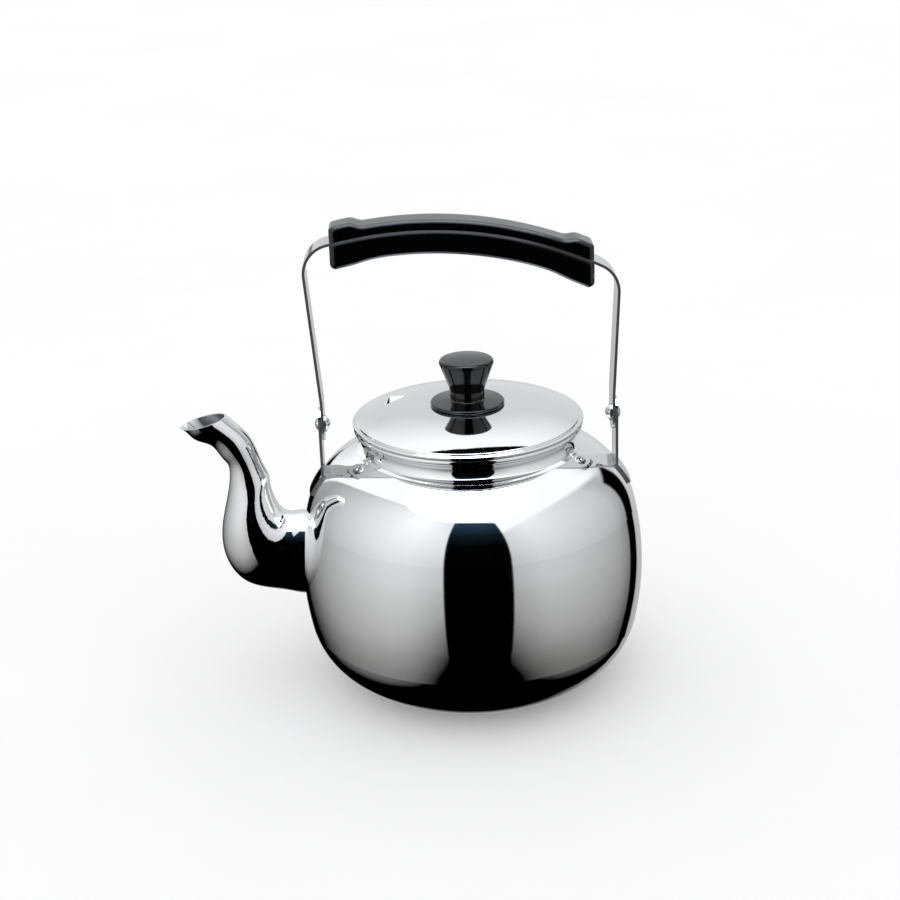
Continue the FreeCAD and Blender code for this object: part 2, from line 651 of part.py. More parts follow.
def make_bail_strap(screw_holes):
    """Flat strap bent round a tangent path of legs, two corners and the arch."""
    body = new_body("bail_strip")
    (front, rear), arch_centre = bail_path()
    path = new_sketch(body, "bail_path", "XZ_Plane")

    def arc(centre, start, end):
        angles = [math.atan2(p.y - centre.y, p.x - centre.x) for p in (start, end)]
        circle = Part.Circle(centre, Vector(0, 0, 1), (start - centre).Length)
        return path.addGeometry(Part.ArcOfCircle(circle, angles[0], angles[1]), False)

    def line(start, end):
        return path.addGeometry(Part.LineSegment(start, end), False)

    # Runs from the rear leg to the front leg, so that each arc turns the same way
    rear_foot = line(rear[0], rear[1])
    rear_leg = line(rear[1], rear[2])
    rear_bend = arc(rear[3], rear[2], rear[4])
    arch = arc(arch_centre, rear[4], front[4])
    front_bend = arc(front[3], front[4], front[2])
    front_leg = line(front[2], front[1])
    front_foot = line(front[1], front[0])
    run = [rear_foot, rear_leg, rear_bend, arch, front_bend, front_leg, front_foot]
    for one, other in zip(run, run[1:]):
        kind = "Coincident" if {one, other} & {rear_foot, front_foot} else "Tangent"
        path.addConstraint(Sketcher.Constraint(kind, one, 2, other, 1))
    bend_height = S.pivot_height + S.leg_straight
    place_point(path, "rear_end", rear_foot, 1, LEG_MIDDLE, STRAP_LOW)
    place_point(path, "rear_bend", rear_leg, 1, LEG_MIDDLE, bend_height)
    place_point(path, "front_bend", front_foot, 1, -LEG_MIDDLE, bend_height)
    place_point(path, "front_end", front_foot, 2, -LEG_MIDDLE, STRAP_LOW)
    place_point(path, "arch_centre", arch, 3, S.arch_offset, S.arch_height)
    dimension(path, "arch", Sketcher.Constraint("Radius", arch, float(S.arch_radius)), S.arch_radius)
    for name, bend in (("rear_corner", rear_bend), ("front_corner", front_bend)):
        dimension(path, name, Sketcher.Constraint("Radius", bend, float(S.strap_corner)), S.strap_corner)
    slants = (("rear_slant", rear_foot, rear_leg, S.rear_leg_lean),
              ("front_slant", front_leg, front_foot, S.front_leg_lean))
    for name, one, other, lean in slants:
        angle = Sketcher.Constraint("Angle", one, 2, other, 1, math.radians(180 - float(lean)))
        index = path.addConstraint(angle)
        path.renameConstraint(index, name)
        path.setExpression("Constraints." + name, "(180 - %s) * 1 deg" % lean.text)

    section = new_sketch(body, "bail_section", "XY_Plane", STRAP_LOW)
    half = S.strap_width / 2
    draw_outline(section, [(LEG_INNER, -half), (LEG_OUTER, -half), (LEG_OUTER, half), (LEG_INNER, half)])
    DOCUMENT.recompute()
    pipe = body.newObject("PartDesign::AdditivePipe", "bail_pipe")
    pipe.Profile = section
    pipe.Spine = (path, [])
    DOCUMENT.recompute()
    eye = DOCUMENT.addObject("Part::Cylinder", "pivot_hole")
    bind(eye, "Radius", S.rivet_radius + S.pivot_clearance)
    bind(eye, "Height", EAR_OUTER * 2)
    eye.Placement = Placement(Vector(), Rotation(Vector(0, 1, 0), 90))
    bind(eye, "Placement.Base.x", -EAR_OUTER)
    bind(eye, "Placement.Base.z", S.pivot_height)
    return cut("bail_strap", round_leg_ends(body), [eye] + screw_holes)


def round_leg_ends(body):
    """Round both ends of the strap about the pivots."""
    pipe = body.Tip
    low, half = float(STRAP_LOW), float(S.strap_width) / 2
    names = []
    for index, edge in enumerate(pipe.Shape.Edges, 1):
        middle = edge.CenterOfMass
        if abs(middle.z - low) < NEAR and abs(abs(middle.y) - half) < NEAR:
            names.append("Edge%d" % index)
    ends = body.newObject("PartDesign::Fillet", "bail_ends")
    ends.Base = (pipe, names)
    bind(ends, "Radius", S.strap_width / 2 * FULL_ROUND)
    DOCUMENT.recompute()
    return body


# Grip


STRAP_TOP = S.arch_radius + S.strap_thickness / 2
STRAP_UNDER = S.arch_radius - S.strap_thickness / 2


def end_angle(side, radius, inset=0):
    """Angle of the grip's upright end face at a ring, or of a place inset from it along the arch."""
    reach = S.grip_rear_reach if side > 0 else -S.grip_front_reach
    return arc_sine((reach - S.arch_offset) / radius) - Size.of(inset) * side / S.arch_radius * RADIAN


def arch_point(radius, angle):
    return S.arch_offset + radius * sine(angle), S.arch_height + radius * cosine(angle)


def joggle(high, low, turn):
    """Radius of the two equal arcs that lead from one ring to a smaller one within an angle."""
    close = cosine(turn)
    drop = high - low
    across = high * high + low * low - close * 2 * high * low
    lead = (close + 1) * drop
    flat = Size.of(2) - close * 2
    return (root(lead * lead + flat * across) - lead) / flat


def joggle_middle(high, high_angle, low, low_angle, radius):
    """Where the two arcs of a joggle meet."""
    one = arch_point(high - radius, high_angle)
    other = arch_point(low + radius, low_angle)
    return (one[0] + other[0]) / 2, (one[1] + other[1]) / 2


def grip_edge(end, middle, flat, ramp):
    """Top or underside from rear to front: raised ends, a joggle each and the arched middle."""
    high, low = (end, middle) if end.value > middle.value else (middle, end)
    turn = ramp / S.arch_radius * RADIAN
    bend = joggle(high, low, turn)
    corners = []
    for side in (1, -1):
        tip = end_angle(side, end)
        shelf = end_angle(side, S.arch_radius, flat)
        dip = end_angle(side, S.arch_radius, flat + ramp)
        if end.value > middle.value:
            meet = joggle_middle(end, shelf, middle, dip, bend)
            turns = (1, 1, -1)
        else:
            meet = joggle_middle(middle, dip, end, shelf, bend)
            turns = (1, -1, 1)
        if side > 0:
            corners.append(arch_point(end, tip) + (end, 1))
            corners.append(arch_point(end, shelf) + (bend, turns[1]))
            corners.append(meet + (bend, turns[2]))
            corners.append(arch_point(middle, dip) + (middle, 1))
        else:
            corners.append(arch_point(middle, dip) + (bend, turns[2]))
            corners.append(meet + (bend, turns[1]))
            corners.append(arch_point(end, shelf) + (end, 1))
            corners.append(arch_point(end, tip))
    return corners


def round_edges(body, name, radius, wanted):
    """Round the edges that the test picks by their middle point and their ends."""
    base = body.Tip
    names = ["Edge%d" % index for index, edge in enumerate(base.Shape.Edges, 1) if wanted(edge)]
    rounded = body.newObject("PartDesign::Fillet", name)
    rounded.Base = (base, names)
    bind(rounded, "Radius", radius)
    DOCUMENT.recompute()


def ring_at(radius, level):
    """Test that picks a round edge about the kettle's axis by its radius and height."""
    def wanted(edge):
        at = edge.Vertexes[0].Point
        return abs(math.hypot(at.x, at.y) - radius.value) < NEAR and abs(at.z - level.value) < NEAR
    return wanted


def ring_radius(point):
    """Distance of a point from the arch's centre line."""
    return math.hypot(point.x - float(S.arch_offset), point.z - float(S.arch_height))


def upright_edge(edge):
    """Test that picks a straight edge standing along Z."""
    start, end = edge.Vertexes[0].Point, edge.Vertexes[-1].Point
    return math.hypot(start.x - end.x, start.y - end.y) < NEAR < edge.Length


def make_grip_upper(insert_holes):
    body = new_body("grip_upper_block")
    outline = new_sketch(body, "grip_upper_outline", "XZ_Plane")
    top = grip_edge(S.arch_radius + S.grip_end_rise, S.arch_radius + S.grip_rise, S.grip_pad_length,
                    S.grip_pad_ramp)
    front = end_angle(-1, STRAP_TOP)
    rear = end_angle(1, STRAP_TOP)
    draw_outline(outline, top + [
        arch_point(STRAP_TOP, front) + (STRAP_TOP, -1),
        arch_point(STRAP_TOP, rear),
    ])
    pad(body, "grip_upper_pad", outline, S.grip_upper_width, True)
    parting = float(STRAP_TOP) + NEAR

    def top_edge(edge):
        return min(ring_radius(v.Point) for v in edge.Vertexes) > parting

    round_edges(body, "grip_upper_corners", S.grip_corner_round, upright_edge)
    round_edges(body, "grip_upper_round", S.grip_top_round, top_edge)
    return cut("grip_upper_half", body, insert_holes)


def make_grip_lower(screw_holes):
    """Lower half with the strap's channel along its top."""
    body = new_body("grip_lower_block")
    outline = new_sketch(body, "grip_lower_outline", "XZ_Plane")
    front = end_angle(-1, STRAP_TOP)
    rear = end_angle(1, STRAP_TOP)
    under = grip_edge(S.arch_radius - S.grip_end_drop, S.arch_radius - S.grip_drop, S.grip_block_length,
                      S.grip_block_ramp)
    draw_outline(outline, [
        arch_point(STRAP_TOP, rear) + (STRAP_TOP, 1),
        arch_point(STRAP_TOP, front),
    ] + downward(under))
    pad(body, "grip_lower_pad", outline, S.grip_lower_width, True)
    parting = float(STRAP_TOP) - NEAR
    side = float(S.grip_lower_width) / 2 - NEAR

    def under_edge(edge):
        return max(ring_radius(v.Point) for v in edge.Vertexes) < parting

    def ridge_edge(edge):
        low = min(ring_radius(v.Point) for v in edge.Vertexes)
        return low > parting and abs(edge.CenterOfMass.y) > side

    round_edges(body, "grip_lower_corners", S.grip_corner_round, upright_edge)
    round_edges(body, "grip_lower_round", S.grip_under_round, under_edge)
    round_edges(body, "grip_ridge_round", S.grip_ridge_round, ridge_edge)

    channel = new_body("grip_channel")
    band = new_sketch(channel, "grip_channel_outline", "XZ_Plane")
    ends = [end_angle(side, S.arch_radius, -S.strap_corner) for side in (1, -1)]
    over = STRAP_TOP + S.strap_thickness
    draw_outline(band, [
        arch_point(over, ends[0]) + (over, 1),
        arch_point(over, ends[1]),
        arch_point(STRAP_UNDER, ends[1]) + (STRAP_UNDER, -1),
        arch_point(STRAP_UNDER, ends[0]),
    ])
    pad(channel, "grip_channel_pad", band, S.strap_width + S.grip_channel_play * 2, True)
    return cut("grip_lower_half", body, [channel] + screw_holes)


SCREW_SEAT = STRAP_UNDER - S.grip_screw_bridge


def screw_angles():
    return [end_angle(side, S.arch_radius, S.grip_screw_inset) for side in (-1, 1)]


def radial_rods(name, radius, start, length):
    """One rod at each grip screw, along the screw, from a distance to the arch's centre."""
    rods = []
    for place, angle in zip(("front", "rear"), screw_angles()):
        base = arch_point(start, angle)
        rods.append(cylinder("%s_%s" % (name, place), radius, length, (base[0], 0, base[1]), angle))
    return rods


def make_screw(label, shank_radius, shank_length, head_radius, head_height):
    """Slotted screw: seat of the head at 0, shank up, rounded head below."""
    body = new_body(label)
    crown = S.screw_head_round
    revolve(body, [
        (0, -head_height),
        (head_radius - crown, -head_height, crown, 1),
        (head_radius, -head_height + crown),
        (head_radius, 0),
        (shank_radius, 0),
        (shank_radius, shank_length),
        (0, shank_length),
    ])
    slot = new_sketch(body, label + "_slot", "XY_Plane", S.screw_slot_depth - head_height)
    half = S.screw_slot_width / 2
    across = head_radius
    draw_outline(slot, [(-across, -half), (across, -half), (across, half), (-across, half)])
    pocket(body, label + "_slot_cut", slot, S.screw_slot_depth)
    return body


def make_insert(label, outer, inner, length):
    """Threaded insert as a plain bush standing on 0."""
    body = new_body(label)
    revolve(body, [(inner, 0), (outer, 0), (outer, length), (inner, length)])
    return body


def pair_along_grip(label, piece, distance):
    """Two copies of a small piece, one at each grip screw."""
    copies = []
    for angle in screw_angles():
        base = arch_point(distance, angle)
        copy = piece.Shape.copy()
        turn = Rotation(Vector(0, 1, 0), angle.value)
        copy.Placement = Placement(Vector(base[0].value, 0, base[1].value), turn)
        copies.append(copy)
    pair = DOCUMENT.addObject("Part::Feature", label)
    pair.Label = label
    pair.Shape = Part.makeCompound(copies)
    pair.Placement = Placement()
    return pair


# Lid


LID_EDGE = RIM_RADIUS + S.lid_overhang
LID_STEP_RADIUS = LID_EDGE - S.lid_ledge
HEM_UNDER = RIM_TOP + S.lid_seat_gap
HEM_TOP = HEM_UNDER + S.lid_hem * 2
DOME_FOOT = HEM_TOP + S.lid_step
LID_UNDER = S.lid_dome - S.shell_wall
LID_CENTRE = DOME_FOOT - leg_of(S.lid_dome, LID_STEP_RADIUS - S.lid_land_radius)
LID_TOP = LID_CENTRE + S.lid_dome


def lid_level(radius, across):
    """Height of a ring on the lid's curve, or on a surface inside it."""
    return LID_CENTRE + leg_of(radius, across - S.lid_land_radius)


def make_vent_tab():
    """Pressed-down triangle of the lid's sheet, hinged on its radial base."""
    bearing = float(S.vent_bearing)
    radius = float(S.vent_radius)
    wall = float(S.shell_wall)
    slope = math.degrees(math.asin((radius - float(S.lid_land_radius)) / float(S.lid_dome)))
    base, length = float(S.vent_base), float(S.vent_length)
    slit = float(S.vent_slit)
    corners = [Vector(-base / 2, -wall, -wall / 2), Vector(base / 2, -wall, -wall / 2),
               Vector(base / 2 - slit, 0, -wall / 2), Vector(0, length - 2 * slit, -wall / 2),
               Vector(slit - base / 2, 0, -wall / 2)]
    tab = Part.Face(Part.makePolygon(corners + corners[:1])).extrude(Vector(0, 0, wall))
    press = Placement(Vector(), Rotation(Vector(1, 0, 0), -float(S.vent_tilt)))
    lie = Placement(Vector(radius, 0, float(lid_level(S.lid_dome - S.shell_wall / 2, S.vent_radius))),
                    Rotation(Vector(0, 1, 0), slope))
    swing = Placement(Vector(), Rotation(Vector(0, 0, 1), bearing))
    piece = DOCUMENT.addObject("Part::Feature", "vent_tab")
    piece.Shape = tab
    piece.Placement = swing.multiply(lie).multiply(press)
    return piece


def make_lid_plate():
    """Domed plate with a flat middle, a step down to its hemmed edge and a lanced steam vent."""
    body = new_body("lid_disc")
    inner = LID_STEP_RADIUS - S.shell_wall
    revolve(body, [
        (S.knob_screw_radius, LID_TOP),
        (S.knob_screw_radius, LID_TOP - S.shell_wall),
        (S.lid_land_radius, LID_TOP - S.shell_wall, LID_UNDER, -1),
        (inner, lid_level(LID_UNDER, inner)),
        (inner, HEM_UNDER),
        (LID_EDGE - S.lid_hem, HEM_UNDER, S.lid_hem, 1),
        (LID_EDGE, HEM_UNDER + S.lid_hem, S.lid_hem, 1),
        (LID_EDGE - S.lid_hem, HEM_TOP),
        (LID_STEP_RADIUS, HEM_TOP),
        (LID_STEP_RADIUS, DOME_FOOT, S.lid_dome, 1),
        (S.lid_land_radius, LID_TOP),
    ])
    for name, level in (("crest", DOME_FOOT), ("foot", HEM_TOP)):
        round_edges(body, "lid_%s_fillet" % name, S.lid_step_round, ring_at(LID_STEP_RADIUS, level))
    window = new_sketch(body, "vent_window", "XY_Plane", LID_TOP)
    along = (cosine(S.vent_bearing), sine(S.vent_bearing))

    def at(outward, ahead):
        return (along[0] * outward - along[1] * ahead, along[1] * outward + along[0] * ahead)

    draw_outline(window, [
        at(S.vent_radius - S.vent_base / 2, Size.of(0)),
        at(S.vent_radius + S.vent_base / 2, Size.of(0)),
        at(S.vent_radius, S.vent_length),
    ])
    pocket(body, "vent_cut", window, LID_TOP - RIM_TOP)
    plate = DOCUMENT.addObject("Part::Fuse", "lid_plate")
    plate.Base = body
    plate.Tool = make_vent_tab()
    plate.Label = "lid_plate"
    DOCUMENT.recompute()
    return plate


def make_lid_skirt():
    """Ring that centres the lid in the neck, with a flange under the lid."""
    body = new_body("lid_skirt")
    outer = S.collar_waist_radius - S.shell_wall - S.skirt_clearance
    inner = outer - S.shell_wall
    low = RIM_TOP - S.skirt_depth
    tip = inner - S.skirt_flange
    under = LID_UNDER - S.shell_wall
    revolve(body, [
        (outer, low),
        (outer, lid_level(LID_UNDER, outer), LID_UNDER, 1),
        (tip, lid_level(LID_UNDER, tip)),
        (tip, lid_level(under, tip), under, -1),
        (inner, lid_level(under, inner)),
        (inner, low),
    ])
    return body


def make_lid_knob():
    """Moulded knob: rounded foot, straight stem, flare and crowned top, hollow for its insert."""
    body = new_body("lid_knob")
    foot = S.knob_flange_thickness
    rim = foot / 2
    crown = head_crown(S.knob_top_radius, S.knob_crown)
    foot_level = LID_TOP + foot + S.knob_foot_rise
    waist_level = LID_TOP + S.knob_waist_height
    edge_level = LID_TOP + S.knob_edge_height
    revolve(body, [
        (S.knob_insert_radius, LID_TOP),
        (S.knob_flange_radius - rim, LID_TOP, rim, 1),
        (S.knob_flange_radius, LID_TOP + rim, rim, 1),
        (S.knob_flange_radius - rim, LID_TOP + foot),
        (S.knob_waist_radius, foot_level),
        (S.knob_waist_radius, waist_level),
        (S.knob_top_radius, edge_level, crown, 1),
        (0, edge_level + S.knob_crown),
        (0, LID_TOP + S.knob_insert_length),
        (S.knob_insert_radius, LID_TOP + S.knob_insert_length),
    ])
    corners = (("edge", S.knob_top_radius, edge_level), ("waist", S.knob_waist_radius, waist_level),
               ("foot", S.knob_waist_radius, foot_level))
    for name, radius, level in corners:
        round_edges(body, "knob_%s_fillet" % name, getattr(S, "knob_%s_round" % name), ring_at(radius, level))
    return body


WASHER_TOP = LID_TOP - S.shell_wall
KNOB_SCREW_SEAT = WASHER_TOP - S.knob_washer_thickness


def make_knob_washer():
    body = new_body("knob_washer")
    revolve(body, [
        (S.knob_screw_radius, KNOB_SCREW_SEAT),
        (S.knob_washer_radius, KNOB_SCREW_SEAT),
        (S.knob_washer_radius, WASHER_TOP),
        (S.knob_screw_radius, WASHER_TOP),
    ])
    return body


def make_lid_fasteners():
    insert = make_insert("knob_insert", S.knob_insert_radius, S.knob_screw_radius, S.knob_insert_length)
    bind(insert, "Placement.Base.z", LID_TOP)
    shank = LID_TOP - KNOB_SCREW_SEAT + S.knob_screw_engagement
    screw = make_screw("knob_screw", S.knob_screw_radius, shank, S.knob_screw_head_radius,
                       S.knob_screw_head_height)
    bind(screw, "Placement.Base.z", KNOB_SCREW_SEAT)
    return [insert, screw, make_knob_washer()]


# The whole kettle


def make_kettle_body():
    envelope = make_envelope()
    pieces = [make_body_shell(), make_neck_collar(envelope)] + make_spout_halves(envelope)
    for place in ("rear", "front"):
        ear = make_ear(place + "_ear", envelope)
        rivet = make_rivet(place + "_pivot_rivet")
        washer = make_pivot_washer(place + "_pivot_washer")
        for piece in (ear, rivet, washer):
            if place == "front":
                half_turn(piece)
            pieces.append(piece)
    return pieces


def make_bail():
    shank = STRAP_TOP - SCREW_SEAT + S.grip_insert_length
    play = S.grip_screw_radius + S.grip_screw_clearance
    well = S.grip_screw_head_radius + S.grip_head_clearance
    bores = radial_rods("screw_bore", play, SCREW_SEAT, STRAP_TOP - SCREW_SEAT)
    wells = radial_rods("head_well", well, SCREW_SEAT - S.grip_end_drop, S.grip_end_drop)
    sockets = radial_rods("insert_socket", S.grip_insert_radius, STRAP_TOP, S.grip_insert_length)
    screw = make_screw("grip_screw", S.grip_screw_radius, shank, S.grip_screw_head_radius,
                       S.grip_screw_head_height)
    insert = make_insert("grip_insert", S.grip_insert_radius, S.grip_screw_radius, S.grip_insert_length)
    DOCUMENT.recompute()
    return [
        make_bail_strap(bores),
        make_grip_upper(sockets),
        make_grip_lower(bores + wells),
        pair_along_grip("grip_screws", screw, SCREW_SEAT),
        pair_along_grip("grip_inserts", insert, STRAP_TOP),
    ]


def make_lid():
    return [make_lid_plate(), make_lid_skirt(), make_lid_knob()] + make_lid_fasteners()


def check_and_write(pieces):
    """Stop on any failed object or shape, then write one file for each piece."""
    DOCUMENT.recompute()
    for thing in DOCUMENT.Objects:
        if {"Invalid", "Error"} & set(thing.State):
            raise ValueError("%s is %s" % (thing.Label, thing.State))
    for piece in pieces:
        if piece.Shape.isNull() or not piece.Shape.isValid() or not piece.Shape.Solids:
            raise ValueError("%s has no valid solid" % piece.Label)
    os.makedirs("parts", exist_ok=True)
    for piece in pieces:
        piece.Shape.exportStep("parts/%s.step" % piece.Label)
        print("%-20s %d solid(s) %10.1f mm3" % (piece.Label, len(piece.Shape.Solids), piece.Shape.Volume))


check_and_write(make_kettle_body() + make_bail() + make_lid())
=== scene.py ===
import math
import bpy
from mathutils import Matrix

bl_info = {
    "name": "Stove-top kettle",
    "version": (1, 0, 0),
    "blender": (4, 5, 0),
    "location": "3D View > Sidebar > Kettle",
    "description": "Finishes a stove-top kettle and sets it on a studio table",
    "category": "Object",
}

import bpy
from bpy.props import FloatProperty, FloatVectorProperty, PointerProperty
from mathutils import Matrix

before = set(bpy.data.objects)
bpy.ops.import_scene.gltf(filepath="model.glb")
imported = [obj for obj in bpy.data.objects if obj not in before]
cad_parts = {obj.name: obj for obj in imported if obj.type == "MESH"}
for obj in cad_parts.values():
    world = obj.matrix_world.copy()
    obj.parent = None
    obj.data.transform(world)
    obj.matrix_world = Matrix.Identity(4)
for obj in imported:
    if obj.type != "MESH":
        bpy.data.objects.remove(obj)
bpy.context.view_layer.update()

# The photograph's frame is square, this many pixels across
IMAGE_SIZE = 900


# Sizes and colours that a user would change


class KettleFinish(bpy.types.PropertyGroup):
    """Colours and gloss of the kettle's materials."""

    steel: FloatVectorProperty(
        name="Steel", description="Colour of clean polished steel", subtype="COLOR",
        default=(0.72, 0.72, 0.725), min=0, max=1)
    steel_dull: FloatVectorProperty(
        name="Handled steel", description="Colour of polished steel where hands have dulled it",
        subtype="COLOR", default=(0.66, 0.655, 0.65), min=0, max=1)
    steel_roughness: FloatProperty(
        name="Steel roughness", description="Roughness of clean polished steel", subtype="FACTOR",
        default=0.03, min=0, max=1)
    # Inside steel: darker colour of the spout's enclosed inside, partly unpolished steel and partly painted
    # shade
    inside: FloatVectorProperty(
        name="Inside steel", description="Colour of the unpolished inside of the spout", subtype="COLOR",
        default=(0.32, 0.32, 0.325), min=0, max=1)
    inside_roughness: FloatProperty(
        name="Inside roughness", description="Roughness of the unpolished inside of the spout",
        subtype="FACTOR", default=0.4, min=0, max=1)
    tube_width: FloatProperty(
        name="Tube width", description="Width of the spout's tube where it pours", unit="LENGTH",
        default=0.02, min=0)
    strap: FloatVectorProperty(
        name="Strap steel", description="Colour of the handle's strap and of the ears that carry it",
        subtype="COLOR", default=(0.56, 0.56, 0.57), min=0, max=1)
    cut_edge_roughness: FloatProperty(
        name="Cut edges", description="Roughness of the strap's sheared edges", subtype="FACTOR",
        default=0.36, min=0, max=1)
    black: FloatVectorProperty(
        name="Black", description="Colour of the moulded grip and knob", subtype="COLOR",
        default=(0.001, 0.001, 0.0012), min=0, max=1)
    black_rubbed: FloatVectorProperty(
        name="Rubbed black", description="Colour of the moulding where its edges are rubbed",
        subtype="COLOR", default=(0.004, 0.004, 0.004), min=0, max=1)
    black_roughness: FloatProperty(
        name="Black roughness", description="Roughness of the moulded pieces", subtype="FACTOR",
        default=0.07, min=0, max=1)
    grip_softness: FloatProperty(
        name="Grip softness", description="How far the grip's long edges are softened", unit="LENGTH",
        default=0.004, min=0)
    brass: FloatVectorProperty(
        name="Brass", description="Colour of the threaded inserts", subtype="COLOR",
        default=(0.60, 0.42, 0.16), min=0, max=1)
    turned: FloatVectorProperty(
        name="Turned steel", description="Colour of the screws and washers", subtype="COLOR",
        default=(0.56, 0.56, 0.57), min=0, max=1)


class KettleStage(bpy.types.PropertyGroup):
    """Camera, floor and light of the studio."""

    camera_place: FloatVectorProperty(
        name="Camera", description="Where the camera stands", subtype="TRANSLATION", unit="LENGTH",
        default=(-0.0251, -0.8996, 0.4766))
    camera_pitch: FloatProperty(
        name="Pitch", description="How far the camera looks down", subtype="ANGLE", unit="ROTATION",
        default=math.radians(21.045))
    camera_yaw: FloatProperty(
        name="Yaw", description="How far the camera looks towards +X", subtype="ANGLE", unit="ROTATION",
        default=math.radians(0.936))
    camera_roll: FloatProperty(
        name="Roll", description="How far the camera leans", subtype="ANGLE", unit="ROTATION",
        default=math.radians(-1.981))
    focal_pixels: FloatProperty(
        name="Focal length", description="Focal length measured in the photograph's pixels",
        subtype="PIXEL", default=1753.6)
    floor: FloatVectorProperty(
        name="Floor", description="Colour of the table", subtype="COLOR",
        default=(0.83, 0.83, 0.835), min=0, max=1)
    floor_radius: FloatProperty(
        name="Floor radius", description="Half the width of the table", unit="LENGTH", default=14.0)
    floor_lift: FloatProperty(
        name="Floor lift", description="White that the camera adds to the table", subtype="FACTOR",
        default=0.17, min=0, max=1)
    soft_light: FloatProperty(
        name="Soft light", description="Level of the even light from all round", default=1.0, min=0)


# Node helpers


def add_node(tree, kind, **settings):
    """New node with some of its settings."""
    made = tree.nodes.new(kind)
    for name, value in settings.items():
        setattr(made, name, value)
    return made


def wire(tree, source, target):
    """Link one socket to another, or set a plain value on it."""
    if isinstance(source, bpy.types.NodeSocket):
        tree.links.new(source, target)
    else:
        target.default_value = source


def math_node(tree, operation, *values):
    """Result of a sum on sockets and plain numbers."""
    made = add_node(tree, "ShaderNodeMath", operation=operation)
    for value, socket in zip(values, made.inputs):
        wire(tree, value, socket)
    return made.outputs["Value"]


def vector_node(tree, operation, first, second, result):
    """Result of a sum on two vectors, each a socket or a plain vector."""
    made = add_node(tree, "ShaderNodeVectorMath", operation=operation)
    wire(tree, first, made.inputs[0])
    wire(tree, second, made.inputs[1])
    return made.outputs[result]


def map_range(tree, value, source, target, smooth=False):
    """Value carried from one range to another, and held past its ends."""
    made = add_node(tree, "ShaderNodeMapRange")
    if smooth:
        made.interpolation_type = "SMOOTHSTEP"
    wire(tree, value, made.inputs["Value"])
    for name, number in zip(("From Min", "From Max", "To Min", "To Max"), (*source, *target)):
        made.inputs[name].default_value = number
    return made.outputs["Result"]


def mix(tree, factor, first, second, kind="RGBA"):
    """Goes from one colour or vector to another with a factor; each is a socket or a plain colour."""
    made = add_node(tree, "ShaderNodeMix", data_type=kind)
    wire(tree, factor, made.inputs["Factor"])
    for name, source in (("A", first), ("B", second)):
        linked = isinstance(source, bpy.types.NodeSocket)
        wire(tree, source if linked else (*source, 1), made.inputs[name])
    return made.outputs["Result"]


def axes(tree, vector):
    """A vector's parts along X, Y and Z."""
    made = add_node(tree, "ShaderNodeSeparateXYZ")
    wire(tree, vector, made.inputs["Vector"])
    return made.outputs


def own_place(tree):
    """Place on a piece, along its own axes."""
    return add_node(tree, "ShaderNodeTexCoord").outputs["Object"]


def noise(tree, place, scale, detail):
    made = add_node(tree, "ShaderNodeTexNoise")
    made.inputs["Detail"].default_value = detail
    wire(tree, place, made.inputs["Vector"])
    wire(tree, scale, made.inputs["Scale"])
    return made.outputs["Fac"]


def dimmed(colour, share):
    return tuple(channel * share for channel in colour)


# Surface effects shared by the materials

# A smudge is broad noise with some finer noise in it, and shows as their blend passes through the fade
SMUDGE_FINENESS = 7.0
SMUDGE_FINE_SHARE = 0.3
SMUDGE_FADE = (0.42, 0.66)
# Hairlines follow the middle of noise that is turned and stretched in these ways
HAIRLINE_LAYS = (
    ((0.3, 0.2, 0.5), (1, 14, 1)),
    ((1.1, 0.7, 2.0), (10, 1, 1)),
    ((0.5, 1.3, 1.2), (1, 1, 16)),
)
NOISE_MIDDLE = 0.5
# Cosine of a corner's turn where rubbing starts and where it is full
RUBBED_TURN = (0.985, 0.80)
# Noise that breaks the rubbing up, and the least that is left of it
RUBBED_PATCHES = (0.40, 0.62)
RUBBED_LEAST = 0.15


def new_group(name, inputs, output):
    """Shader node group with number inputs, given with their defaults, and one number output."""
    tree = bpy.data.node_groups.new(name, "ShaderNodeTree")
    for socket, value in inputs.items():
        made = tree.interface.new_socket(socket, in_out="INPUT", socket_type="NodeSocketFloat")
        made.default_value = value
    tree.interface.new_socket(output, in_out="OUTPUT", socket_type="NodeSocketFloat")
    return tree, add_node(tree, "NodeGroupInput").outputs, add_node(tree, "NodeGroupOutput").inputs


def handling_smudge():
    """Soft marks that hands and drying water leave: Mask is 1 on a mark."""
    tree, given, result = new_group("handling_smudge", {"Scale": 16.0, "Cover": 0.5}, "Mask")
    place = own_place(tree)
    broad = noise(tree, place, given["Scale"], detail=3)
    fine_scale = math_node(tree, "MULTIPLY", given["Scale"], SMUDGE_FINENESS)
    fine = noise(tree, place, fine_scale, detail=6)
    blend = math_node(tree, "ADD", math_node(tree, "MULTIPLY", broad, 1 - SMUDGE_FINE_SHARE),
                      math_node(tree, "MULTIPLY", fine, SMUDGE_FINE_SHARE))
    lifted = math_node(tree, "ADD", blend, math_node(tree, "SUBTRACT", given["Cover"], NOISE_MIDDLE))
    wire(tree, map_range(tree, lifted, SMUDGE_FADE, (0, 1), smooth=True), result["Mask"])
    return tree


def faint_ripple():
    """Faint unevenness of a pressed and buffed or moulded face: Height is about 0 to 1."""
    sizes = {"Scale": 30.0, "Grain": 600.0, "Grain Share": 0.1}
    tree, given, result = new_group("faint_ripple", sizes, "Height")
    place = own_place(tree)
    wave = noise(tree, place, given["Scale"], detail=1)
    grain = noise(tree, place, given["Grain"], detail=2)
    share = math_node(tree, "MULTIPLY", grain, given["Grain Share"])
    wire(tree, math_node(tree, "ADD", wave, share), result["Height"])
    return tree


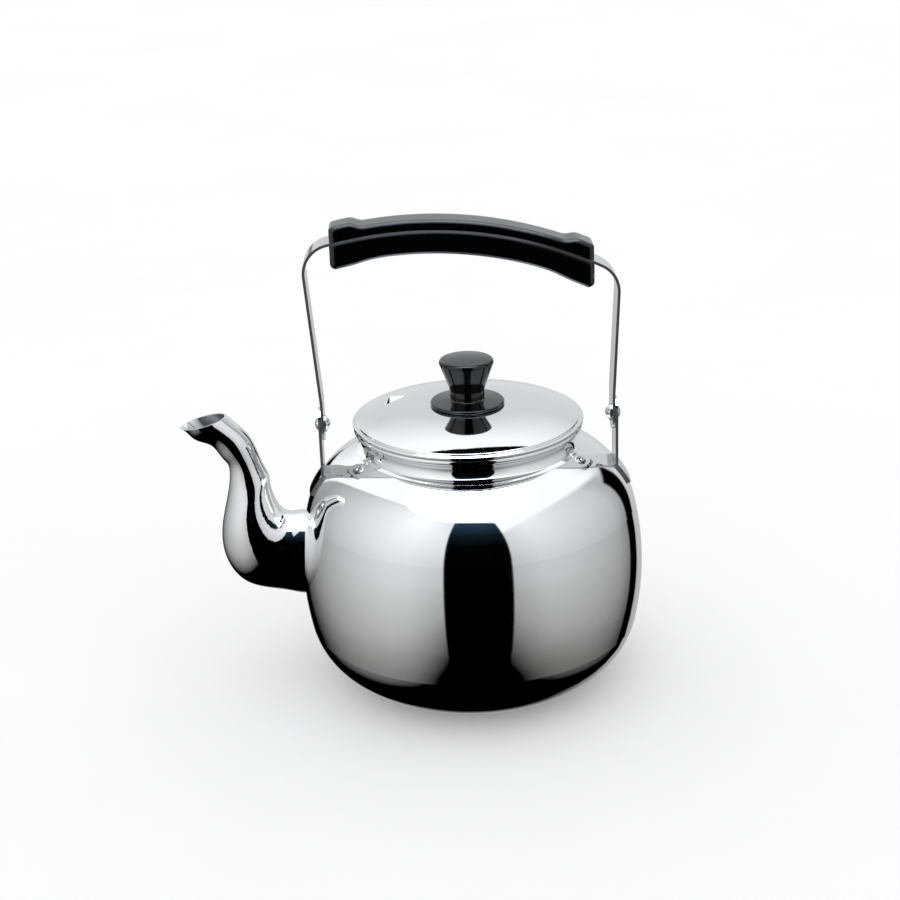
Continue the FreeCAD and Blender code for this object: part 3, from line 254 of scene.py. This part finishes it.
def wiping_hairlines():
    """Fine hairlines left by wiping: Mask is 1 on a hairline."""
    tree, given, result = new_group("wiping_hairlines", {"Scale": 60.0, "Width": 0.02}, "Mask")
    place = own_place(tree)
    hairlines = 0.0
    for turn, stretch in HAIRLINE_LAYS:
        laid = add_node(tree, "ShaderNodeMapping")
        laid.inputs["Rotation"].default_value = turn
        laid.inputs["Scale"].default_value = stretch
        wire(tree, place, laid.inputs["Vector"])
        streaks = noise(tree, laid.outputs["Vector"], given["Scale"], detail=2)
        off = math_node(tree, "ABSOLUTE", math_node(tree, "SUBTRACT", streaks, NOISE_MIDDLE))
        line = math_node(tree, "LESS_THAN", off, given["Width"])
        hairlines = math_node(tree, "MAXIMUM", hairlines, line)
    wire(tree, hairlines, result["Mask"])
    return tree


def rubbed_edges():
    """Rubbed corners: Mask is 1 where a face turns sharply within Reach."""
    tree, given, result = new_group("rubbed_edges", {"Reach": 0.0008, "Break Up": 90.0}, "Mask")
    rounded = add_node(tree, "ShaderNodeBevel", samples=6)
    wire(tree, given["Reach"], rounded.inputs["Radius"])
    face = add_node(tree, "ShaderNodeNewGeometry")
    turn = vector_node(tree, "DOT_PRODUCT", rounded.outputs["Normal"], face.outputs["Normal"], "Value")
    corner = map_range(tree, turn, RUBBED_TURN, (0, 1))
    patches = noise(tree, own_place(tree), given["Break Up"], detail=4)
    worn = map_range(tree, patches, RUBBED_PATCHES, (RUBBED_LEAST, 1), smooth=True)
    wire(tree, math_node(tree, "MULTIPLY", corner, worn), result["Mask"])
    return tree


def place_effect(tree, maker, **values):
    """Put a shared effect, which is made once, in a material with its own values."""
    made = add_node(tree, "ShaderNodeGroup", node_tree=bpy.data.node_groups.get(maker.__name__) or maker())
    for socket, value in values.items():
        made.inputs[socket.replace("_", " ")].default_value = value
    return made.outputs[0]


# Materials

# Roughness that smudges add to clean steel, and how far hairlines come up to that
MARKS_ROUGHNESS = 0.035
HAIRLINE_SHARE = 0.8
# Heights between which the inside of the spout's tube goes dull and takes the darker inside colour, which is
# partly painted shade
DULL_AND_SHADE_HEIGHTS = (0.11, 0.125)
# Openness of a face, up to 1, from inside the tube to outside it; enclosed faces get rougher and get painted
# shade in their colour
TUBE_OPENNESS = (0.55, 0.85)
# Parts of a normal along a piece's own axes: the strap's sheared edges, and the grip's upper and end faces
SHEARED_Y = (0.75, 0.95)
UPPER_Z = (0.1, 0.35)
END_X = (0.3, 0.6)
# Shares of the clean colour that handled strap, tarnished metal and a marked table keep
HANDLED_STRAP = 0.93
TARNISHED = 0.72
MARKED_TABLE = 0.985
# Roughness that handling adds to a moulding, and that of turned metal, clean and tarnished
HANDLED_BLACK_ROUGHNESS = 0.06
TURNED_ROUGHNESS = (0.22, 0.38)


def new_material(name):
    """Material, its node tree and its shader."""
    material = bpy.data.materials.new(name)
    material.use_nodes = True
    return material, material.node_tree, material.node_tree.nodes["Principled BSDF"]


def bump_into(tree, shader, height, strength, distance):
    """Bump node that shades a shader's surface by a height."""
    bump = add_node(tree, "ShaderNodeBump")
    bump.inputs["Strength"].default_value = strength
    bump.inputs["Distance"].default_value = distance
    wire(tree, height, bump.inputs["Height"])
    wire(tree, bump.outputs["Normal"], shader.inputs["Normal"])
    return bump


def own_normal(tree, normal):
    """Parts of a normal along the piece's own axes, so that they turn with it."""
    turned = add_node(tree, "ShaderNodeVectorTransform", vector_type="NORMAL", convert_from="WORLD",
                      convert_to="OBJECT")
    wire(tree, normal, turned.inputs["Vector"])
    return axes(tree, turned.outputs["Vector"])


def steel_marks(tree, shader, finish, clean, handled):
    """Handled and wiped steel: ripples the shader, and gives its colour and roughness."""
    smudge = place_effect(tree, handling_smudge, Scale=11.0, Cover=0.42)
    hairline = place_effect(tree, wiping_hairlines, Scale=70.0, Width=0.006)
    ripple = place_effect(tree, faint_ripple, Scale=26.0, Grain=420.0, Grain_Share=0.02)
    shader.inputs["Metallic"].default_value = 1
    bump_into(tree, shader, ripple, strength=0.10, distance=0.0003)
    marks = math_node(tree, "MAXIMUM", smudge, math_node(tree, "MULTIPLY", hairline, HAIRLINE_SHARE))
    roughnesses = (finish.steel_roughness, finish.steel_roughness + MARKS_ROUGHNESS)
    return mix(tree, smudge, clean, handled), map_range(tree, marks, (0, 1), roughnesses)


def polished_steel(finish):
    """Mirror-polished sheet."""
    material, tree, shader = new_material("polished_steel")
    colour, rough = steel_marks(tree, shader, finish, finish.steel, finish.steel_dull)
    wire(tree, colour, shader.inputs["Base Color"])
    wire(tree, rough, shader.inputs["Roughness"])
    return material


def spout_steel(finish):
    """Polished outside and left dull inside the pouring end of the tube, where an occlusion mask also darkens
    the colour as painted shade.
    """
    material, tree, shader = new_material("spout_steel")
    colour, rough = steel_marks(tree, shader, finish, finish.steel, finish.steel_dull)
    # Occlusion finds the enclosed inside of the tube; its mask makes those faces rougher and paints shade
    # into their colour
    hollow = add_node(tree, "ShaderNodeAmbientOcclusion", samples=8)
    hollow.inputs["Distance"].default_value = finish.tube_width
    enclosed_dull_and_shade = map_range(tree, hollow.outputs["AO"], TUBE_OPENNESS, (1, 0), smooth=True)
    height = axes(tree, own_place(tree))["Z"]
    pouring_end = map_range(tree, height, DULL_AND_SHADE_HEIGHTS, (0, 1), smooth=True)
    inside = math_node(tree, "MULTIPLY", enclosed_dull_and_shade, pouring_end)
    dull = math_node(tree, "MULTIPLY", inside, finish.inside_roughness)
    # Painted shade: the colour goes towards the dark inside colour where the tube is enclosed
    wire(tree, mix(tree, inside, colour, finish.inside), shader.inputs["Base Color"])
    wire(tree, math_node(tree, "MAXIMUM", rough, dull), shader.inputs["Roughness"])
    return material


def strap_steel(finish):
    """Polished strip with dull sheared edges, which face along Y."""
    material, tree, shader = new_material("strap_steel")
    handled = dimmed(finish.strap, HANDLED_STRAP)
    colour, rough = steel_marks(tree, shader, finish, finish.strap, handled)
    face = add_node(tree, "ShaderNodeNewGeometry")
    sideways = math_node(tree, "ABSOLUTE", own_normal(tree, face.outputs["Normal"])["Y"])
    sheared = map_range(tree, sideways, SHEARED_Y, (0, finish.cut_edge_roughness), smooth=True)
    wire(tree, colour, shader.inputs["Base Color"])
    wire(tree, math_node(tree, "MAXIMUM", rough, sheared), shader.inputs["Roughness"])
    return material


def black_moulding(name, finish):
    """Glossy black moulding with rubbed edges: the material, its node tree and its bump."""
    material, tree, shader = new_material(name)
    rub = place_effect(tree, rubbed_edges, Reach=0.0007, Break_Up=120.0)
    smudge = place_effect(tree, handling_smudge, Scale=30.0, Cover=0.46)
    ripple = place_effect(tree, faint_ripple, Scale=55.0, Grain=1500.0, Grain_Share=0.08)
    roughnesses = (finish.black_roughness, finish.black_roughness + HANDLED_BLACK_ROUGHNESS)
    wire(tree, mix(tree, rub, finish.black, finish.black_rubbed), shader.inputs["Base Color"])
    wire(tree, map_range(tree, smudge, (0, 1), roughnesses), shader.inputs["Roughness"])
    return material, tree, bump_into(tree, shader, ripple, strength=0.05, distance=0.0002)


def moulded_black(finish):
    """Moulding of the knob."""
    return black_moulding("moulded_black", finish)[0]


def grip_black(finish):
    """Moulding whose long upper edges are softened."""
    material, tree, bump = black_moulding("grip_black", finish)
    face = add_node(tree, "ShaderNodeNewGeometry")
    softened = add_node(tree, "ShaderNodeBevel", samples=8)
    softened.inputs["Radius"].default_value = finish.grip_softness
    parts = own_normal(tree, softened.outputs["Normal"])
    upward = map_range(tree, parts["Z"], UPPER_Z, (0, 1), smooth=True)
    lengthwise = map_range(tree, math_node(tree, "ABSOLUTE", parts["X"]), END_X, (1, 0), smooth=True)
    long_edges = math_node(tree, "MULTIPLY", upward, lengthwise)
    normal = mix(tree, long_edges, face.outputs["Normal"], softened.outputs["Normal"], kind="VECTOR")
    wire(tree, normal, bump.inputs["Normal"])
    return material


def turned_metal(name, colour):
    """Lathe-turned metal with fine scratches and a little tarnish."""
    material, tree, shader = new_material(name)
    smudge = place_effect(tree, handling_smudge, Scale=80.0, Cover=0.5)
    hairline = place_effect(tree, wiping_hairlines, Scale=160.0, Width=0.03)
    shader.inputs["Metallic"].default_value = 1
    wire(tree, mix(tree, smudge, colour, dimmed(colour, TARNISHED)), shader.inputs["Base Color"])
    wire(tree, map_range(tree, smudge, (0, 1), TURNED_ROUGHNESS), shader.inputs["Roughness"])
    bump_into(tree, shader, hairline, strength=0.15, distance=0.00005)
    return material


def turned_brass(finish):
    """Brass of the threaded inserts."""
    return turned_metal("turned_brass", finish.brass)


def screw_steel(finish):
    """Steel of the screws and washers."""
    return turned_metal("screw_steel", finish.turned)


def dress(node_name, maker):
    """Give a CAD node a finish, which is made once."""
    material = bpy.data.materials.get(maker.__name__) or maker(bpy.context.scene.kettle_finish)
    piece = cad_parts[node_name]
    piece.data.materials.clear()
    piece.data.materials.append(material)


# Pieces


class KettlePot(bpy.types.Operator):
    """Finish the barrel body and its neck."""
    bl_idname = "kettle.pot"
    bl_label = "Pot and neck"

    def execute(self, context):
        for name in ("body_shell", "neck_collar"):
            dress(name, polished_steel)
        return {"FINISHED"}


class KettleSpout(bpy.types.Operator):
    """Finish the spout's two pressed halves."""
    bl_idname = "kettle.spout"
    bl_label = "Spout"

    def execute(self, context):
        for name in ("spout_near_half", "spout_far_half"):
            dress(name, spout_steel)
        return {"FINISHED"}


class KettleLid(bpy.types.Operator):
    """Finish the lid's plate and skirt."""
    bl_idname = "kettle.lid"
    bl_label = "Lid"

    def execute(self, context):
        for name in ("lid_plate", "lid_skirt"):
            dress(name, polished_steel)
        return {"FINISHED"}


class KettleKnob(bpy.types.Operator):
    """Finish the lid's knob."""
    bl_idname = "kettle.knob"
    bl_label = "Knob"

    def execute(self, context):
        dress("lid_knob", moulded_black)
        return {"FINISHED"}


class KettleBail(bpy.types.Operator):
    """Finish the strap of the handle and its pivots."""
    bl_idname = "kettle.bail"
    bl_label = "Handle strap and pivots"

    def execute(self, context):
        dress("bail_strap", strap_steel)
        for end in ("front", "rear"):
            dress(end + "_ear", strap_steel)
            dress(end + "_pivot_rivet", polished_steel)
            dress(end + "_pivot_washer", screw_steel)
        return {"FINISHED"}


class KettleGrip(bpy.types.Operator):
    """Finish the grip's two halves."""
    bl_idname = "kettle.grip"
    bl_label = "Grip"

    def execute(self, context):
        for name in ("grip_upper_half", "grip_lower_half"):
            dress(name, grip_black)
        return {"FINISHED"}


class KettleFasteners(bpy.types.Operator):
    """Finish the screws, washer and threaded inserts."""
    bl_idname = "kettle.fasteners"
    bl_label = "Fasteners"

    def execute(self, context):
        for name in ("grip_screws", "knob_screw", "knob_washer"):
            dress(name, screw_steel)
        for name in ("grip_inserts", "knob_insert"):
            dress(name, turned_brass)
        return {"FINISHED"}


# Stage

# Corners of the round table's outline
TABLE_CORNERS = 96

# The light tent as shiny faces mirror it. Bearings are degrees from the camera's side, -Y, towards +X,
# heights are degrees above the horizon, and a level of 1 is the white of the backdrop. Soft is half the width
# over which an edge fades, in the units of that edge.
BLACK = (0.0, 0.0, 0.0)
TENT_WHITE = 1.39

# Level of a side panel, by the angle up from the table in the plane square to the panel's foot
PANEL_LEVELS = ((-58, 0.0), (-49, 0.22), (-31, 0.61), (-13, 0.84), (0, 1.0), (25, 1.18), (56, TENT_WHITE))
# Share of that level along the panels, which are brightest beside the camera and dimmer on the right
PANEL_SHARES = ((-180, 0.6), (-138, 0.42), (-114, 0.655), (-90, 0.83), (-60, 1.0), (-45, 1.0), (-20, 0.8),
                (24, 0.66), (45, 0.84), (60, 0.84), (90, 0.74), (114, 0.64), (126, 0.48), (180, 0.6))
# Each panel: the bearing of its foot, how much its angles are stretched, and its straight top edge, as the
# normal of a plane through the kettle and how far inside that plane the panel starts
LEFT_PANEL = {"foot": -78, "stretch": 1.0, "top": (-0.786, -0.474, -0.397), "edge": 0.0, "soft": 0.016}
RIGHT_PANEL = {"foot": 75, "stretch": 1.06, "top": (0.761, -0.309, -0.570), "edge": 0.03, "soft": 0.05}
# Softness of the line where the two panels meet, at X = 0
PANELS_MEET_SOFT = 0.03
# Darker seam along the left panel's top edge
SEAM_WIDTH = 0.016
SEAM_SHARE = 0.87
# Level of the wall behind the kettle, by height, the bearings on both sides where it takes over from the
# panels, and how far the wall is turned
BACK_LEVELS = ((-58, 0.0), (-40, 0.4), (-14, 0.66), (2, 0.86), (24, 0.85), (48, TENT_WHITE))
BACK_BEARINGS = (139, 158)
BACK_TURN = 10
# The camera's gap: its two sides, its straight top edge as a plane's normal, and its dark colour by height
GAP_SIDES = (-20.5, 24.5)
GAP_SIDE_SOFT = 0.8
GAP_TOP = (0.094, 0.885, 0.455)
GAP_TOP_SOFT = 0.02
GAP_COLOURS = ((-90, BLACK), (30, BLACK), (44, (0.005, 0.0125, 0.018)), (55, (0.016, 0.043, 0.076)),
               (63, (0.03, 0.06, 0.1)))
# Black flags behind the kettle that draw the pot's edges: their sides and tops
FLAGS = (((-166, -148.5), -1), ((128.5, 143), 20))
FLAG_SIDE_SOFT = 1.5
FLAG_TOP_SOFT = 2.0
# Soft box overhead: its colour, and the height that its edge comes down to
OVERHEAD_COLOUR = (5.2, 5.6, 6.2)
OVERHEAD_FOOT = 64
OVERHEAD_SOFT = 3.0
# Tint of the light, warmer off the table and cooler off the panels
TENT_TINTS = ((-40, (1.0, 1.0, 0.985)), (0, (0.99, 1.0, 1.01)), (40, (0.975, 1.0, 1.02)))

# The camera's sensor in millimetres, and how near and far it sees in metres
SENSOR_WIDTH = 36
CLIP_RANGE = (0.01, 100)


def table_top(stage):
    """Pale table top that the camera sees as white where no shadow falls."""
    material, tree, shader = new_material("table_top")
    smudge = place_effect(tree, handling_smudge, Scale=3.0, Cover=0.5)
    marked = dimmed(stage.floor, MARKED_TABLE)
    wire(tree, mix(tree, smudge, stage.floor, marked), shader.inputs["Base Color"])
    shader.inputs["Roughness"].default_value = 0.9
    shader.inputs["Specular IOR Level"].default_value = 0
    rays = add_node(tree, "ShaderNodeLightPath")
    wire(tree, rays.outputs["Is Camera Ray"], shader.inputs["Emission Color"])
    shader.inputs["Emission Strength"].default_value = stage.floor_lift
    return material


def table(stage):
    """Round table. Shiny faces mirror the foot of the light tent in its place."""
    radius = stage.floor_radius
    turns = [2 * math.pi * corner / TABLE_CORNERS for corner in range(TABLE_CORNERS)]
    outline = [(radius * math.cos(turn), radius * math.sin(turn), 0) for turn in turns]
    mesh = bpy.data.meshes.new("table")
    mesh.from_pydata(outline, [], [tuple(range(TABLE_CORNERS))])
    mesh.materials.append(table_top(stage))
    made = bpy.data.objects.new("table", mesh)
    bpy.context.scene.collection.objects.link(made)
    made.visible_glossy = False


def grey(level):
    return (level, level, level)


def shaded(tree, colour, share):
    return vector_node(tree, "MULTIPLY", colour, share, "Vector")


def along(tree, direction, normal):
    """How far a direction lies along a plane's normal, which is 0 on the plane."""
    return vector_node(tree, "DOT_PRODUCT", direction, normal, "Value")


def in_degrees(tree, radians):
    return math_node(tree, "MULTIPLY", radians, math.degrees(1))


def level_ramp(tree, angle, stops):
    """Level or colour by an angle in degrees, straight between stops."""
    low, high = stops[0][0], stops[-1][0]
    colours = [level if isinstance(level, tuple) else grey(level) for at, level in stops]
    brightest = max(1.0, max(max(colour) for colour in colours))
    ramp = add_node(tree, "ShaderNodeValToRGB")
    wire(tree, map_range(tree, angle, (low, high), (0, 1)), ramp.inputs["Fac"])
    elements = ramp.color_ramp.elements
    for at, level in stops[1:-1]:
        elements.new((at - low) / (high - low))
    for element, colour in zip(elements, colours):
        element.color = (*dimmed(colour, 1 / brightest), 1)
    return shaded(tree, ramp.outputs["Color"], grey(brightest))


def step(tree, value, edge, soft):
    """0 below an edge and 1 above it."""
    return map_range(tree, value, (edge - soft, edge + soft), (0, 1), smooth=True)


def below(tree, value, edge, soft):
    """1 below an edge and 0 above it."""
    return math_node(tree, "SUBTRACT", 1.0, step(tree, value, edge, soft))


def between(tree, value, edges, soft):
    """1 between two edges and 0 outside them."""
    return math_node(tree, "MULTIPLY", step(tree, value, edges[0], soft), below(tree, value, edges[1], soft))


def side_panel(tree, direction, shares, panel):
    """One side panel, with white past its top edge."""
    foot = math.radians(panel["foot"])
    outward = along(tree, direction, (math.sin(foot), -math.cos(foot), 0))
    angle = in_degrees(tree, math_node(tree, "ARCTAN2", axes(tree, direction)["Z"], outward))
    level = level_ramp(tree, math_node(tree, "MULTIPLY", angle, panel["stretch"]), PANEL_LEVELS)
    inside = step(tree, along(tree, direction, panel["top"]), panel["edge"], panel["soft"])
    return mix(tree, inside, grey(TENT_WHITE), shaded(tree, level, shares))


def side_panels(tree, direction, bearing):
    """Both side panels, and the seam along the left one's top edge."""
    shares = level_ramp(tree, bearing, PANEL_SHARES)
    left = side_panel(tree, direction, shares, LEFT_PANEL)
    right = side_panel(tree, direction, shares, RIGHT_PANEL)
    top = along(tree, direction, LEFT_PANEL["top"])
    seam = between(tree, top, (-SEAM_WIDTH, SEAM_WIDTH), SEAM_WIDTH)
    left = shaded(tree, left, map_range(tree, seam, (0, 1), (1, SEAM_SHARE)))
    return mix(tree, step(tree, axes(tree, direction)["X"], 0, PANELS_MEET_SOFT), left, right)


def tent_light(tree, direction):
    """What a shiny face sees of the light tent in a direction."""
    parts = axes(tree, direction)
    toward_camera = math_node(tree, "MULTIPLY", parts["Y"], -1)
    bearing = in_degrees(tree, math_node(tree, "ARCTAN2", parts["X"], toward_camera))
    height = in_degrees(tree, math_node(tree, "ARCSINE", parts["Z"]))
    turned = math_node(tree, "ABSOLUTE", math_node(tree, "ADD", bearing, BACK_TURN))
    behind = map_range(tree, turned, BACK_BEARINGS, (0, 1), smooth=True)
    room = mix(tree, behind, side_panels(tree, direction, bearing), level_ramp(tree, height, BACK_LEVELS))
    for sides, top in FLAGS:
        flag = math_node(tree, "MULTIPLY", between(tree, bearing, sides, FLAG_SIDE_SOFT),
                         below(tree, height, top, FLAG_TOP_SOFT))
        room = mix(tree, flag, room, BLACK)
    room = mix(tree, step(tree, height, OVERHEAD_FOOT, OVERHEAD_SOFT), room, OVERHEAD_COLOUR)
    gap = math_node(tree, "MULTIPLY", between(tree, bearing, GAP_SIDES, GAP_SIDE_SOFT),
                    below(tree, along(tree, direction, GAP_TOP), 0, GAP_TOP_SOFT))
    room = mix(tree, gap, room, level_ramp(tree, height, GAP_COLOURS))
    return shaded(tree, room, level_ramp(tree, height, TENT_TINTS))


def studio_world(stage):
    """Even light all round for dull faces, the tent for shiny ones and a white backdrop for the camera."""
    world = bpy.data.worlds.new("studio_light")
    world.use_nodes = True
    tree = world.node_tree
    place = add_node(tree, "ShaderNodeTexCoord")
    rays = add_node(tree, "ShaderNodeLightPath")
    shine = math_node(tree, "MAXIMUM", rays.outputs["Is Glossy Ray"], rays.outputs["Is Transmission Ray"])
    light = mix(tree, shine, grey(stage.soft_light), tent_light(tree, place.outputs["Generated"]))
    light = mix(tree, rays.outputs["Is Camera Ray"], light, grey(1.0))
    wire(tree, light, tree.nodes["Background"].inputs["Color"])
    bpy.context.scene.world = world


def studio_camera(stage):
    """Camera at the photograph's viewing angle."""
    data = bpy.data.cameras.new("studio_camera")
    data.sensor_width = SENSOR_WIDTH
    data.lens = stage.focal_pixels / IMAGE_SIZE * SENSOR_WIDTH
    data.clip_start, data.clip_end = CLIP_RANGE
    camera = bpy.data.objects.new("studio_camera", data)
    bpy.context.scene.collection.objects.link(camera)
    turn = Matrix.Rotation(-stage.camera_yaw, 4, "Z")
    turn @= Matrix.Rotation(math.pi / 2 - stage.camera_pitch, 4, "X")
    turn @= Matrix.Rotation(stage.camera_roll, 4, "Z")
    camera.matrix_world = Matrix.Translation(stage.camera_place) @ turn
    bpy.context.scene.camera = camera


class KettleStudio(bpy.types.Operator):
    """Lay the table and set the light and the camera."""
    bl_idname = "kettle.studio"
    bl_label = "Studio"

    def execute(self, context):
        stage = context.scene.kettle_stage
        table(stage)
        studio_world(stage)
        studio_camera(stage)
        context.scene.view_settings.view_transform = "Standard"
        return {"FINISHED"}


class KettlePanel(bpy.types.Panel):
    """Lists the kettle's pieces, its finishes and its stage."""
    bl_idname = "VIEW3D_PT_kettle"
    bl_label = "Kettle"
    bl_space_type = "VIEW_3D"
    bl_region_type = "UI"
    bl_category = "Kettle"

    def draw(self, context):
        column = self.layout.column()
        for operator in OPERATORS:
            column.operator(operator.bl_idname)
        for group in (context.scene.kettle_finish, context.scene.kettle_stage):
            for name in group.__annotations__:
                column.prop(group, name)


OPERATORS = (KettlePot, KettleSpout, KettleLid, KettleKnob, KettleBail, KettleGrip, KettleFasteners,
             KettleStudio)
CLASSES = (KettleFinish, KettleStage) + OPERATORS + (KettlePanel,)


def register():
    for made in CLASSES:
        bpy.utils.register_class(made)
    bpy.types.Scene.kettle_finish = PointerProperty(type=KettleFinish)
    bpy.types.Scene.kettle_stage = PointerProperty(type=KettleStage)


def unregister():
    del bpy.types.Scene.kettle_stage
    del bpy.types.Scene.kettle_finish
    for made in reversed(CLASSES):
        bpy.utils.unregister_class(made)


def main():
    register()
    for operator in OPERATORS:
        area, name = operator.bl_idname.split(".")
        getattr(getattr(bpy.ops, area), name)()


if __name__ == "__main__":
    main()
